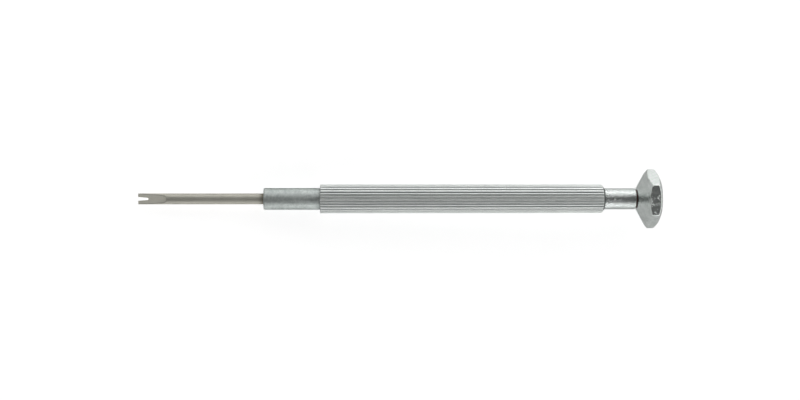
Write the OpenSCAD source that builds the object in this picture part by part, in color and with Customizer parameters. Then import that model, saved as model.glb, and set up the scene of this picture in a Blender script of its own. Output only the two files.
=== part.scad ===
// Watchmaker's screwdriver with a forked blade, a fluted barrel and a swivel head.
// The tool lies along X: the fork points to -X and the head is at the +X end. The origin is on
// the tool's axis, halfway between its two ends. Millimetres throughout.

/* [Blade] */
// Diameter of the blade
blade_d = 2.5; // [2.3:0.1:3]
// Length of blade that stands out of the ferrule
blade_reach = 28.5; // [20:0.1:45]
// Length of the two ground flats behind the fork's tip
flat_len = 6.2; // [5:0.1:12]
// Thickness of the fork at its tip
tip_t = 0.6; // [0.4:0.05:0.9]
// Thickness between the flats where they would end without their round run-out
flat_end_t = 1.8; // [1.5:0.05:2]
// Width of the fork's slot at its mouth
slot_mouth_w = 0.85; // [0.6:0.05:1.1]
// Width of the slot at its round end
slot_end_w = 0.55; // [0.4:0.05:0.6]
// Depth of the slot
slot_depth = 2.35; // [1.5:0.05:3.5]
// Length of the shank inside the ferrule
shank_len = 16.5; // [13:0.5:18]

/* [Ferrule] */
// Diameter of the ferrule
ferrule_d = 5; // [4.9:0.1:5.4]
// Length of ferrule in front of the barrel
ferrule_len = 12.9; // [12:0.1:16]
// Major diameter of the two clamp screws
screw_d = 1.4; // [1.2:0.1:1.6]

/* [Barrel] */
// Diameter over the crests of the flutes
barrel_d = 6.7; // [6.2:0.1:8]
// Length of the barrel
barrel_len = 65.8; // [40:0.1:90]
// Number of flutes round the barrel
flute_count = 30; // [20:2:36]
// Depth of each flute
flute_depth = 0.2; // [0.1:0.05:0.3]

/* [Neck] */
// Diameter of the neck behind the barrel
neck_d = 4.9; // [4.7:0.1:5.4]
// Length of neck between barrel and head
neck_len = 7.3; // [6.5:0.1:10]

/* [Head] */
// Width of the hexagon across its flats
head_af = 12; // [11:0.5:13]
// Diameter of the head's small end, beside the neck
head_nose_d = 4.9; // [4.4:0.1:5.2]
// Slope of the cone between nose and corners, from a plane across the axis
nose_slope = 30; // [28:1:34]
// Length of the hexagon's corner edges
corner_len = 1.46; // [1.3:0.02:2.4]
// Radius of the domed crown behind the corners
crown_sphere_r = 12; // [11:0.5:16]
// Diameter of the rim round the finger dish
rim_d = 9.8; // [9.2:0.1:10]
// Depth of the finger dish
dish_depth = 0.7; // [0.3:0.05:0.8]

/* [Swivel bearing] */
// Outside diameter of the ball bearing in the head
bearing_od = 5; // [4.9:0.1:5.2]
// Number of balls in the bearing
ball_count = 7; // [5:1:7]
// Diameter of each ball
ball_d = 0.8; // [0.7:0.05:0.85]

/* [Hidden] */
$fn = 96;
small_fn = 48;
arc_steps = 16;
ball_names = [for (i = [1:ball_count]) str("bearing_ball_", i)];

eps = 0.01;          // overlap that keeps a cut from ending exactly on a face
run_gap = 0.02;      // radial clearance of a running fit
face_gap = 0.15;     // clearance between faces that turn past each other
edge = 0.25;         // ordinary edge chamfer
fine_edge = 0.12;    // small edge chamfer
drill_slope = 0.6;   // depth of a drilled hole's point over its radius

// Head, from its nose to its rim
hex_r = head_af / 2 / cos(30);
nose_r = head_nose_d / 2;
rim_r = rim_d / 2;
cone_len = (hex_r - nose_r) * tan(nose_slope);
crown_reach = sqrt(crown_sphere_r ^ 2 - rim_r ^ 2);
crown_len = crown_reach - sqrt(crown_sphere_r ^ 2 - hex_r ^ 2);
head_len = cone_len + corner_len + crown_len;

// Stations along the tool, from the fork's tip to the head's rim
washer_space = 0.3;
overall_len = blade_reach + ferrule_len + barrel_len + neck_len + washer_space + head_len;
x_tip = -overall_len / 2;
x_ferrule = x_tip + blade_reach;
x_barrel = x_ferrule + ferrule_len;
x_neck = x_barrel + barrel_len;
x_washer = x_neck + neck_len;
x_head = x_washer + washer_space;
x_rim = x_head + head_len;

// Blade
blade_r = blade_d / 2;
flat_taper = (flat_end_t - tip_t) / 2 / flat_len;
runout_r = 1.2;         // radius that the grinding wheel leaves at the end of each flat
clamp_flat_h = 0.98;    // height above the axis of the flat that the clamp screws press on
clamp_flat_start = 1.5; // distance of that flat behind the ferrule's front face

// Ferrule and its clamp screws
ferrule_r = ferrule_d / 2;
ferrule_spigot_r = 2.2;
spigot_len = 8;
screw_r = screw_d / 2;
screw_len = 1.35;
screw_pitch = 0.3;
screw_thread = 0.16;           // depth of the thread
screw_point = 0.18;            // length of the chamfer at the screw's inner end
screw_slot_w = 0.25;
screw_slot_depth = 0.4;
screw_stations = [3.5, 8.5];   // distance of each screw behind the ferrule's front face
screw_tilt = 30;               // the screws point to -Y and this far below it

// Barrel
barrel_r = barrel_d / 2;
socket_len = spigot_len + 0.3;
end_bevel_len = 0.55;
end_bevel_r = neck_d / 2 + 0.05;

// Neck and pivot pin
neck_r = neck_d / 2;
neck_spigot_r = 2;
neck_round = 0.35;
pin_r = 1;
pin_depth = 6;
collar_r = 1.3;
washer_r = neck_r - 0.3;

// Swivel bearing, inside the head
nose_wall = 0.6;
bearing_w = 2.3;
bearing_r = bearing_od / 2;
x_bearing = x_head + nose_wall;
x_balls = x_bearing + bearing_w / 2;
ball_r = ball_d / 2;
ball_pitch_r = (bearing_r + pin_r) / 2;
shoulder_gap = 0.22;   // from the balls' circle to each ring's shoulder
seat_w = 0.4;          // width of the ledge that the outer ring sits on
cage_wall = 0.26;
cage_w = 1.5;
pocket_r = ball_r + 0.05;

// Snap ring, on the end of the pivot pin
x_groove = x_bearing + bearing_w;
groove_w = 0.3;
groove_r = 0.78;
ring_w = 0.25;
ring_r = 1.6;
ring_relief_r = 1.2;
ring_lug_w = 0.55;
pin_end = 0.25;

// Finger pad, and the dish that is ground across it and the head's rim
pad_r = 3.8;
x_pad = x_groove + groove_w + pin_end + face_gap;
dish_r = rim_r - 0.2;
dish_sphere_r = (dish_r ^ 2 + dish_depth ^ 2) / (2 * dish_depth);

// ---- shapes that several pieces share ----

// Points along an arc, both ends included
function arc(centre, r, a0, a1) =
    [for (i = [0:arc_steps])
        let (a = a0 + (a1 - a0) * i / arc_steps)
        centre + r * [cos(a), sin(a)]];

// A turned piece: points are [radius, distance along X]
module turned(points) {
    rotate([0, 90, 0])
        rotate_extrude()
            polygon(points);
}

// A plain round bar or hole along X
module bar(r, x0, x1) {
    translate([x0, 0, 0])
        rotate([0, 90, 0])
            cylinder(r = r, h = x1 - x0);
}

module tube(r_out, r_in, x0, x1) {
    difference() {
        bar(r_out, x0, x1);
        bar(r_in, x0 - eps, x1 + eps);
    }
}

// A blind hole that opens at x_mouth and runs depth towards dir, with a drilled point
module drilled(r, x_mouth, depth, dir) {
    turned([
        [0, x_mouth - dir * eps],
        [r, x_mouth - dir * eps],
        [r, x_mouth + dir * depth],
        [0, x_mouth + dir * (depth + r * drill_slope)]
    ]);
}

// Puts children that stand on Z along a clamp screw's axis
module at_screw(station) {
    translate([x_ferrule + station, 0, 0])
        rotate([90 + screw_tilt, 0, 0])
            children();
}

// The space that the balls sweep, which leaves a groove in each ring of the bearing
module race() {
    translate([x_balls, 0, 0])
        rotate([0, 90, 0])
            rotate_extrude()
                translate([ball_pitch_r, 0])
                    circle(r = ball_r + run_gap, $fn = small_fn);
}

// The shallow sphere that hollows the finger dish
module dish() {
    translate([x_rim + dish_sphere_r - dish_depth, 0, 0])
        rotate([0, 90, 0])
            sphere(r = dish_sphere_r, $fn = 180);
}

// ---- blade ----

// What the grinding wheel takes off the top of the blade to leave one flat. The wheel runs out
// of the steel on an arc
module flat_cut() {
    tilt = atan(flat_taper);
    straight = flat_len - runout_r / 2;
    wheel = [straight - runout_r * sin(tilt),
             tip_t / 2 + flat_taper * straight + runout_r * cos(tilt)];
    translate([x_tip, 0, 0])
        rotate([90, 0, 0])
            linear_extrude(height = blade_d * 2, center = true)
                polygon(concat(
                    [[-1, blade_d], [-1, tip_t / 2 - flat_taper]],
                    arc(wheel, runout_r, tilt - 90, -20),
                    [[wheel.x + runout_r, blade_d]]));
}

// The fork's slot: a little wider at the mouth, and round at its end
module fork_slot() {
    straight = slot_depth - slot_end_w / 2;
    flare = (slot_mouth_w - slot_end_w) / 2 / straight;
    translate([x_tip, 0, -blade_d])
        linear_extrude(height = blade_d * 2)
            polygon(concat(
                [[-1, slot_mouth_w / 2 + flare], [-1, -slot_mouth_w / 2 - flare]],
                arc([straight, 0], slot_end_w / 2, -90, 90)));
}

// The flat along the shank, open at its inner end so that the blade can be drawn out
module clamp_flat() {
    at_screw(clamp_flat_start)
        translate([0, -blade_r, clamp_flat_h])
            cube([shank_len, blade_d, blade_r]);
}

module blade() {
    x_end = x_ferrule + shank_len;
    color("#a9a99f")
        difference() {
            turned([
                [0, x_tip],
                [blade_r - fine_edge, x_tip],
                [blade_r, x_tip + fine_edge],
                [blade_r, x_end - edge],
                [blade_r - edge, x_end],
                [0, x_end]
            ]);
            flat_cut();
            mirror([0, 0, 1])
                flat_cut();
            fork_slot();
            clamp_flat();
        }
}

// ---- ferrule ----

module ferrule() {
    x_spigot = x_barrel + spigot_len;
    color("#8f9491")
        difference() {
            turned([
                [0, x_ferrule],
                [ferrule_r - edge, x_ferrule],
                [ferrule_r, x_ferrule + edge],
                [ferrule_r, x_barrel],
                [ferrule_spigot_r, x_barrel],
                [ferrule_spigot_r, x_spigot - edge],
                [ferrule_spigot_r - edge, x_spigot],
                [0, x_spigot]
            ]);
            drilled(blade_r + run_gap, x_ferrule, shank_len + 0.2, 1);
            for (station = screw_stations)
                at_screw(station)
                    cylinder(r = screw_r + run_gap, h = ferrule_d, $fn = small_fn);
        }
}

// A slotted, headless clamp screw. Its thread is a row of turned grooves
module clamp_screw(station) {
    thread_count = floor((screw_len - 0.3) / screw_pitch);
    thread = [
        for (i = [0:thread_count - 1], half = [0, 1])
            [screw_r - half * screw_thread, screw_point + (i + half / 2) * screw_pitch]
    ];
    color("#6e706e")
        at_screw(station)
            translate([0, 0, clamp_flat_h + run_gap])
                difference() {
                    rotate_extrude($fn = small_fn)
                        polygon(concat(
                            [[0, 0], [screw_r - screw_point, 0]],
                            thread,
                            [[screw_r, screw_point + thread_count * screw_pitch],
                             [screw_r, screw_len - 0.06],
                             [screw_r - 0.06, screw_len],
                             [0, screw_len]]));
                    translate([-screw_d, -screw_slot_w / 2, screw_len - screw_slot_depth])
                        cube([screw_d * 2, screw_slot_w, 1]);
                }
}

// ---- barrel ----

// One V-shaped flute, cut along the whole barrel
module flute() {
    reach = flute_depth + eps;
    translate([x_barrel - 1, 0, 0])
        rotate([90, 0, 90])
            linear_extrude(height = barrel_len + 2)
                polygon([
                    [0, barrel_r - flute_depth],
                    [reach, barrel_r + eps],
                    [-reach, barrel_r + eps]
                ]);
}

module barrel() {
    color("#a3a8a5")
        difference() {
            turned([
                [0, x_barrel],
                [barrel_r - fine_edge, x_barrel],
                [barrel_r, x_barrel + fine_edge],
                [barrel_r, x_neck - end_bevel_len],
                [end_bevel_r, x_neck],
                [0, x_neck]
            ]);
            for (i = [0:flute_count - 1])
                rotate([(i + 0.5) * 360 / flute_count, 0, 0])
                    flute();
            drilled(ferrule_spigot_r, x_barrel, socket_len, 1);
            drilled(neck_spigot_r, x_neck, socket_len, -1);
        }
}

// ---- neck and pivot ----

module neck() {
    x_spigot = x_neck - spigot_len;
    color("#c9cccb")
        difference() {
            union() {
                turned([
                    [0, x_spigot],
                    [neck_spigot_r - edge, x_spigot],
                    [neck_spigot_r, x_spigot + edge],
                    [neck_spigot_r, x_neck],
                    [neck_r, x_neck],
                    [neck_r, x_washer - neck_round],
                    [neck_r - neck_round, x_washer - neck_round],
                    [neck_r - neck_round, x_washer],
                    [0, x_washer]
                ]);
                translate([x_washer - neck_round, 0, 0])
                    rotate([0, 90, 0])
                        rotate_extrude()
                            translate([neck_r - neck_round, 0])
                                circle(r = neck_round, $fn = small_fn);
            }
            drilled(pin_r, x_washer, pin_depth, -1);
        }
}

// Pressed into the neck. Its collar carries the bearing's inner ring
module pivot_pin() {
    x_end = x_groove + groove_w + pin_end;
    color("#b7bab8")
        turned([
            [0, x_washer - pin_depth],
            [pin_r - fine_edge, x_washer - pin_depth],
            [pin_r, x_washer - pin_depth + fine_edge],
            [pin_r, x_washer],
            [collar_r, x_washer],
            [collar_r, x_bearing],
            [pin_r, x_bearing],
            [pin_r, x_groove],
            [groove_r, x_groove],
            [groove_r, x_groove + groove_w],
            [pin_r, x_groove + groove_w],
            [pin_r, x_end - fine_edge],
            [pin_r - fine_edge, x_end],
            [0, x_end]
        ]);
}

// Keeps dust out of the gap between neck and head
module dust_washer() {
    color("#6b3a2a")
        tube(washer_r, collar_r + 0.05, x_washer, x_head - 0.06);
}

// ---- head ----

module head() {
    color("#d4d7d6")
        difference() {
            intersection() {
                translate([x_head, 0, 0])
                    rotate([0, 90, 0])
                        rotate([0, 0, 30])
                            cylinder(r = hex_r, h = head_len, $fn = 6);
                rotate([0, 90, 0])
                    rotate_extrude()
                        intersection() {
                            polygon([
                                [0, x_head],
                                [nose_r, x_head],
                                [hex_r + 1, x_head + cone_len + tan(nose_slope)],
                                [hex_r + 1, x_rim],
                                [0, x_rim]
                            ]);
                            translate([0, x_rim - crown_reach])
                                circle(r = crown_sphere_r, $fn = 180);
                        }
            }
            bar(collar_r + face_gap, x_head - eps, x_bearing);
            bar(bearing_r - seat_w, x_bearing - face_gap, x_bearing + eps);
            bar(bearing_r, x_bearing, x_pad + eps);
            bar(pad_r, x_pad, x_rim + eps);
            dish();
        }
}

// Closes the head over the bearing, and carries most of the finger dish
module finger_pad() {
    color("#dadcdb")
        difference() {
            bar(pad_r, x_pad, x_rim);
            dish();
        }
}

// An E-shaped ring: three lugs grip the pin's groove, and the side towards -Z is open
module snap_ring() {
    x_ring = x_groove + run_gap;
    color("#5d5f5e")
        difference() {
            bar(ring_r, x_ring, x_ring + ring_w);
            bar(groove_r + run_gap, x_ring - eps, x_ring + ring_w + eps);
            translate([x_ring - eps, -groove_r - run_gap, -ring_r * 2])
                cube([ring_w + 2 * eps, (groove_r + run_gap) * 2, ring_r * 2]);
            difference() {
                bar(ring_relief_r, x_ring - eps, x_ring + ring_w + eps);
                for (turn = [-90, 0, 90])
                    rotate([turn, 0, 0])
                        translate([x_ring - 2 * eps, -ring_lug_w / 2, 0])
                            cube([ring_w + 4 * eps, ring_lug_w, ring_r]);
            }
        }
}

// ---- swivel bearing ----

module bearing_inner_ring() {
    color("#bfc2c1")
        difference() {
            tube(ball_pitch_r - shoulder_gap, pin_r, x_bearing, x_bearing + bearing_w);
            race();
        }
}

module bearing_outer_ring() {
    color("#bfc2c1")
        difference() {
            tube(bearing_r, ball_pitch_r + shoulder_gap, x_bearing, x_bearing + bearing_w);
            race();
        }
}

module bearing_cage() {
    color("#b98d3f")
        difference() {
            tube(ball_pitch_r + cage_wall / 2, ball_pitch_r - cage_wall / 2,
                 x_balls - cage_w / 2, x_balls + cage_w / 2);
            for (i = [1:ball_count])
                rotate([i * 360 / ball_count, 0, 0])
                    translate([x_balls, 0, ball_pitch_r - cage_wall])
                        cylinder(r = pocket_r, h = cage_wall * 2, $fn = small_fn);
        }
}

module bearing_ball(i) {
    color("#cfd1d0")
        rotate([i * 360 / ball_count, 0, 0])
            translate([x_balls, 0, ball_pitch_r])
                sphere(r = ball_r, $fn = small_fn);
}

blade();
ferrule();
clamp_screw(screw_stations[0]);  // clamp_screw_front
clamp_screw(screw_stations[1]);  // clamp_screw_rear
barrel();
neck();
pivot_pin();
dust_washer();
head();
finger_pad();
snap_ring();
bearing_inner_ring();
bearing_outer_ring();
bearing_cage();
for (i = [1:ball_count])
    bearing_ball(i);
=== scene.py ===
# %% [markdown]
# # A watchmaker's screwdriver
# This lesson dresses a slim steel hand tool: a forked blade in a ferrule, a long fluted barrel, and
# a polished hexagonal head that turns on a small ball bearing. The imported part is loaded first as a
# fixed frame. It gives the place and the outer size of every piece. Finer sizes, such as the depth
# of a flute, stand beside each piece as named numbers. The camera, the light and the finishes are
# given as named numbers too.

# %% Load the frame
import math

import bmesh
import bpy
from mathutils import Matrix, Vector


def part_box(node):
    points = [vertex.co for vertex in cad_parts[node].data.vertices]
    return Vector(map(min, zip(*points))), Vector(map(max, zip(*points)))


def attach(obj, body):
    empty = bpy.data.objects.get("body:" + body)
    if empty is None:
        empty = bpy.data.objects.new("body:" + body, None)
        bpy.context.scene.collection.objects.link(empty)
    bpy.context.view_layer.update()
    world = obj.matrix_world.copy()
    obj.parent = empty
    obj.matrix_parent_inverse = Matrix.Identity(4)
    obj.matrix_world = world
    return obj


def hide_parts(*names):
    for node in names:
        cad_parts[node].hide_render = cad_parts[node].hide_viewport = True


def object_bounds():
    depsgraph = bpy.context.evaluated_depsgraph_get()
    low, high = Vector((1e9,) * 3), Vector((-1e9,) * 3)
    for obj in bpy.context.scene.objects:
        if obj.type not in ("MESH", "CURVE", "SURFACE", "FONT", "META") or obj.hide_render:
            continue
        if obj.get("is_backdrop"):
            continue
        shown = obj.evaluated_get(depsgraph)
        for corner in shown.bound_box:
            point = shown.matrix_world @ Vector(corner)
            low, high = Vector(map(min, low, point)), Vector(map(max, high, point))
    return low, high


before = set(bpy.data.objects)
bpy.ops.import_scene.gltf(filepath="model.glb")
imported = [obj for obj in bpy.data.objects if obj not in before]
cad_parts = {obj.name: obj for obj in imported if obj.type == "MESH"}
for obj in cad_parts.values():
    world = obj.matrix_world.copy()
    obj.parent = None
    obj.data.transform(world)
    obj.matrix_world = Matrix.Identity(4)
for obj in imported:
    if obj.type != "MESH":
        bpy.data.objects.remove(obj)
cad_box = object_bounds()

MM = 0.001
scene = bpy.context.scene
print("overall mm:", [round(size / MM, 2) for size in cad_box[1] - cad_box[0]])

# %% [markdown]
# ## Sizes
# Small turned parts are easiest to think of in millimetres, so every shape is built in millimetres
# and shrunk to metres at the very end. Stations along the tool come from the frame's boxes.

# %% Read stations and sizes from the frame
def span(node):
    """A node's lowest and highest corner in millimetres."""
    low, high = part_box(node)
    return low / MM, high / MM


x_tip = span("blade")[0].x
x_shank_end = span("blade")[1].x
x_ferrule = span("ferrule")[0].x
x_spigot_end = span("ferrule")[1].x
x_barrel, x_neck = span("barrel")[0].x, span("barrel")[1].x
x_neck_spigot = span("neck")[0].x
x_washer = span("neck")[1].x
x_head, x_rim = span("head")[0].x, span("head")[1].x
x_pad = span("finger_pad")[0].x
x_bearing = span("bearing_inner_ring")[0].x
blade_r = span("blade")[1].z
ferrule_r = span("ferrule")[1].z
barrel_r = span("barrel")[1].z
neck_r = span("neck")[1].z
head_flat = span("head")[1].z
pad_r = span("finger_pad")[1].z
washer_r = span("dust_washer")[1].z
print("blade, ferrule, barrel, neck radii:",
      [round(r, 3) for r in (blade_r, ferrule_r, barrel_r, neck_r)])

# %% [markdown]
# ## Camera
# The tool is seen from nearly straight above. The camera stands a little towards the fork and the
# far side, and a very small roll lays the tool level.

# %% Place the camera
CAMERA_PLACE = Vector((-0.018, 0.019, 0.325))
CAMERA_AIM = Vector((-0.00019, -0.00027, 0.0))
CAMERA_ROLL = math.radians(-0.17)
LENS_MM = 63.65

camera_data = bpy.data.cameras.new("camera")
camera_data.lens = LENS_MM
camera_data.sensor_width = 36.0
camera_data.clip_start = 0.01
camera_data.clip_end = 20.0
camera = bpy.data.objects.new("camera", camera_data)
scene.collection.objects.link(camera)
camera.location = CAMERA_PLACE
look = (CAMERA_AIM - CAMERA_PLACE).normalized()
roll = Matrix.Rotation(CAMERA_ROLL, 3, look)
side = roll @ look.cross(Vector((0, 1, 0))).normalized()
up = side.cross(look)
camera.rotation_euler = Matrix((side, up, -look)).transposed().to_euler()
scene.camera = camera
print("camera stands", round(CAMERA_PLACE.z / MM), "mm above the tool's axis")

# %% [markdown]
# ## Shader groups
# Nearly every finish on this tool is metal, and what tells one from another is fine surface detail.
# Each effect is one node group, built once and placed in each material with its own values. They
# all read a vector in millimetres, so a size in a group is a real size on the tool.

# %% Helpers for node trees
def new_group(name, inputs, outputs):
    """An empty shader node group with float inputs, one Vector input, and the outputs named."""
    group = bpy.data.node_groups.new(name, "ShaderNodeTree")
    group.interface.new_socket("Vector", in_out="INPUT", socket_type="NodeSocketVector")
    for label, value in inputs.items():
        socket = group.interface.new_socket(label, in_out="INPUT", socket_type="NodeSocketFloat")
        socket.default_value = value
    for label in outputs:
        group.interface.new_socket(label, in_out="OUTPUT", socket_type="NodeSocketFloat")
    return group, group.nodes.new("NodeGroupInput"), group.nodes.new("NodeGroupOutput")


def feed(tree, socket, value):
    """Links a socket to an output, or sets its constant. None leaves it as it is."""
    if isinstance(value, bpy.types.NodeSocket):
        tree.links.new(value, socket)
    elif value is not None:
        socket.default_value = value


def math_node(tree, operation, a, b=None, c=None, clamp=False):
    node = tree.nodes.new("ShaderNodeMath")
    node.operation = operation
    node.use_clamp = clamp
    for socket, value in zip(node.inputs, (a, b, c)):
        feed(tree, socket, value)
    return node.outputs[0]


def vector_node(tree, operation, a, b=None):
    node = tree.nodes.new("ShaderNodeVectorMath")
    node.operation = operation
    feed(tree, node.inputs[0], a)
    feed(tree, node.inputs[1], b)
    gives = "Value" if operation in ("LENGTH", "DOT_PRODUCT") else "Vector"
    return node.outputs[gives]


def noise(tree, vector, scale, detail=3.0, rough=0.55):
    node = tree.nodes.new("ShaderNodeTexNoise")
    feed(tree, node.inputs["Vector"], vector)
    feed(tree, node.inputs["Scale"], scale)
    node.inputs["Detail"].default_value = detail
    node.inputs["Roughness"].default_value = rough
    return node.outputs["Fac"]


def remap(tree, value, low, high, to_low=0.0, to_high=1.0):
    node = tree.nodes.new("ShaderNodeMapRange")
    node.interpolation_type = "SMOOTHSTEP"
    for label, given in zip(("Value", "From Min", "From Max", "To Min", "To Max"),
                            (value, low, high, to_low, to_high)):
        feed(tree, node.inputs[label], given)
    return node.outputs["Result"]


print("node helpers ready")

# %% [markdown]
# ### Turning marks
# A lathe tool leaves rings round the axis and a grinding wheel leaves lines along it. Both are the
# same noise, squeezed: rings vary quickly along X and hardly at all round the axis, and lines the
# other way about.

# %% Build the group for directional tool marks
def build_tool_marks():
    group, given, put = new_group("tool_marks", {"Along": 8.0, "Across": 0.6, "Contrast": 0.5},
                                  ("Height", "Mask"))
    stretch = group.nodes.new("ShaderNodeCombineXYZ")
    feed(group, stretch.inputs["X"], given.outputs["Along"])
    feed(group, stretch.inputs["Y"], given.outputs["Across"])
    feed(group, stretch.inputs["Z"], given.outputs["Across"])
    squeezed = vector_node(group, "MULTIPLY", given.outputs["Vector"], stretch.outputs[0])
    coarse = noise(group, squeezed, 1.0, 4.0)
    fine = noise(group, squeezed, 3.1, 2.0)
    both = math_node(group, "ADD", math_node(group, "MULTIPLY", coarse, 0.65),
                     math_node(group, "MULTIPLY", fine, 0.35))
    feed(group, put.inputs["Height"], both)
    centred = math_node(group, "SUBTRACT", both, 0.5)
    spread = math_node(group, "MULTIPLY", centred, given.outputs["Contrast"])
    feed(group, put.inputs["Mask"], math_node(group, "ADD", spread, 0.5, clamp=True))
    return group


tool_marks = build_tool_marks()
print("group:", tool_marks.name)

# %% [markdown]
# ### Plating mottle
# Nickel plate over a blasted surface is never even: it has soft clouds a millimetre or two across
# and fine pits inside them.

# %% Build the group for mottled plate
def build_mottle():
    group, given, put = new_group("plate_mottle", {"Cloud": 1.1, "Pit": 7.0, "Contrast": 1.0},
                                  ("Height", "Mask"))
    cloud = noise(group, given.outputs["Vector"], given.outputs["Cloud"], 3.0)
    pit = noise(group, given.outputs["Vector"], given.outputs["Pit"], 2.0, 0.7)
    blend = math_node(group, "ADD", math_node(group, "MULTIPLY", cloud, 0.45),
                      math_node(group, "MULTIPLY", pit, 0.55))
    feed(group, put.inputs["Height"], pit)
    spread = math_node(group, "MULTIPLY", math_node(group, "SUBTRACT", blend, 0.5),
                       given.outputs["Contrast"])
    feed(group, put.inputs["Mask"], math_node(group, "ADD", spread, 0.5, clamp=True))
    return group


plate_mottle = build_mottle()
print("group:", plate_mottle.name)

# %% [markdown]
# ### Hairline scratches
# Handling leaves sparse hairlines. Stretched noise on a turned vector gives long thin cells, and
# only the narrow band round one value is kept, which draws lines instead of patches.

# %% Build the group for hairlines
HAIR_HALF_BAND = 0.012
HAIR_PATCHES = (0.5, 0.62)


def build_hairlines():
    group, given, put = new_group("hairlines", {"Length": 0.35, "Width": 9.0, "Turn": 0.5},
                                  ("Mask",))
    turned = group.nodes.new("ShaderNodeVectorRotate")
    turned.rotation_type = "AXIS_ANGLE"
    turned.inputs["Axis"].default_value = (0.3, 0.5, 1.0)
    feed(group, turned.inputs["Vector"], given.outputs["Vector"])
    feed(group, turned.inputs["Angle"], given.outputs["Turn"])
    stretch = group.nodes.new("ShaderNodeCombineXYZ")
    for label, source in (("X", "Length"), ("Y", "Width"), ("Z", "Width")):
        feed(group, stretch.inputs[label], given.outputs[source])
    stretched = vector_node(group, "MULTIPLY", turned.outputs[0], stretch.outputs[0])
    cells = noise(group, stretched, 1.0, 1.0)
    away = math_node(group, "ABSOLUTE", math_node(group, "SUBTRACT", cells, 0.5))
    line = remap(group, away, 0.0, HAIR_HALF_BAND, 1.0, 0.0)
    thin_out = remap(group, noise(group, given.outputs["Vector"], 0.9, 1.0), *HAIR_PATCHES)
    feed(group, put.inputs["Mask"], math_node(group, "MULTIPLY", line, thin_out))
    return group


hairlines = build_hairlines()
print("group:", hairlines.name)

# %% [markdown]
# ### Distance from the axis
# Wear shows first on what stands highest. On a turned tool that is simply how far a point is from
# the axis, so one group measures it and turns it into a mask between two radii. A material may also
# use the mask to darken: the blade's shank is duller than its freshly ground flats. On the barrel
# the mask lightens the worn crests and darkens the flute grooves, and that groove darkness is
# painted shade.

# %% Build the group for wear and painted shade by radius
def build_high_spots():
    group, given, put = new_group("high_spots", {"Low": 3.2, "High": 3.34}, ("Radius", "Mask"))
    across = vector_node(group, "MULTIPLY", given.outputs["Vector"], (0.0, 1.0, 1.0))
    radius = vector_node(group, "LENGTH", across)
    feed(group, put.inputs["Radius"], radius)
    mask = remap(group, radius, given.outputs["Low"], given.outputs["High"])
    feed(group, put.inputs["Mask"], mask)
    return group


high_spots = build_high_spots()
print("group:", high_spots.name)

# %% [markdown]
# ## Materials
# Each finish is one Principled shader. Metallic is 1 on the metals and 0 on the fibre washer. Bare
# steel is a metal too, but 0.6 on the blade looks nearer to its dull ground surface. A short recipe
# says the two colours, the roughness range and how strongly each group marks the surface, and one
# function turns a recipe into nodes. Edge is the Specular Tint: below 1, it dims a metal where it is
# seen at a slant.

# %% Turn a recipe into a metal
LINE_RELIEF, CLOUD_RELIEF = 0.6, 0.4


def place_group(tree, group, vector, values):
    node = tree.nodes.new("ShaderNodeGroup")
    node.node_tree = group
    feed(tree, node.inputs["Vector"], vector)
    for label, value in values.items():
        node.inputs[label].default_value = value
    return node


STAIN_RAGGED, STAIN_MOST, STAIN_TAIL = 0.8, 0.75, 2.1


def stained(tree, vector, colour, start, end, tint):
    """Mixes a ragged band of tint into a colour between two stations along the tool."""
    split = tree.nodes.new("ShaderNodeSeparateXYZ")
    feed(tree, split.inputs[0], vector)
    ragged = math_node(tree, "MULTIPLY_ADD", noise(tree, vector, 2.5), STAIN_RAGGED,
                       split.outputs["X"])
    middle = STAIN_RAGGED / 2
    rising = remap(tree, ragged, start + middle, end + middle, 0.0, STAIN_MOST)
    fading = remap(tree, ragged, end + middle, end + middle + STAIN_TAIL, 1.0, 0.0)
    mix = tree.nodes.new("ShaderNodeMix")
    mix.data_type = "RGBA"
    feed(tree, mix.inputs["Factor"], math_node(tree, "MULTIPLY", rising, fading))
    feed(tree, mix.inputs["A"], colour)
    mix.inputs["B"].default_value = (*tint, 1.0)
    return mix.outputs["Result"]


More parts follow.
